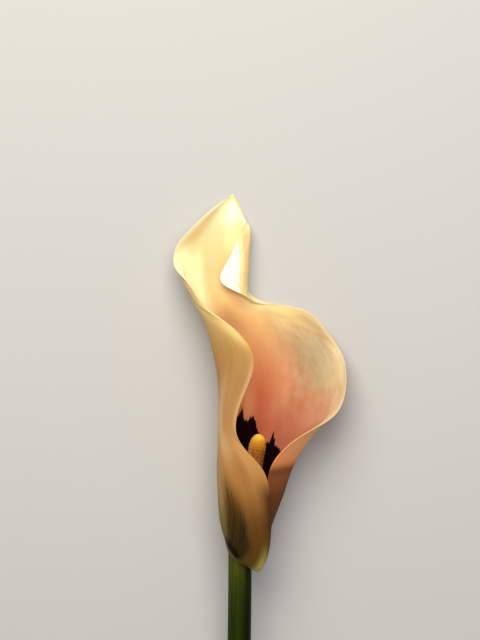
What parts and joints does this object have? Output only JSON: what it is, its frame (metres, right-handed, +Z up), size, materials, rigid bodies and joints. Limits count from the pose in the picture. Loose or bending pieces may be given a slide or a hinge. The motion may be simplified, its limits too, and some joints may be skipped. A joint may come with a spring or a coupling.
{
  "type": "calla lily flower",
  "caption": "Cut calla lily flower lying on its back: a funnel-like spathe with rolled margins and a pointed tip round a rod of florets, on a smooth bare stem.",
  "frame": {"origin": "middle of the flower's underside, on the surface that it lies on", "axes": "+X to the right across the bloom seen from above, +Y from the stem to the spathe's tip, +Z up"},
  "size_m": [0.056, 0.2286, 0.0286],
  "materials": {
    "stem": "smooth green stalk with a slight wax sheen",
    "spathe": "velvety petal, cream at the top, peach and salmon lower down, near-black purple in the throat",
    "spadix": "powdery golden florets"
  },
  "bodies": {
    "root": {"stem": "stem", "spathe": "spathe", "spadix": "spadix"}
  },
  "joints": []
}
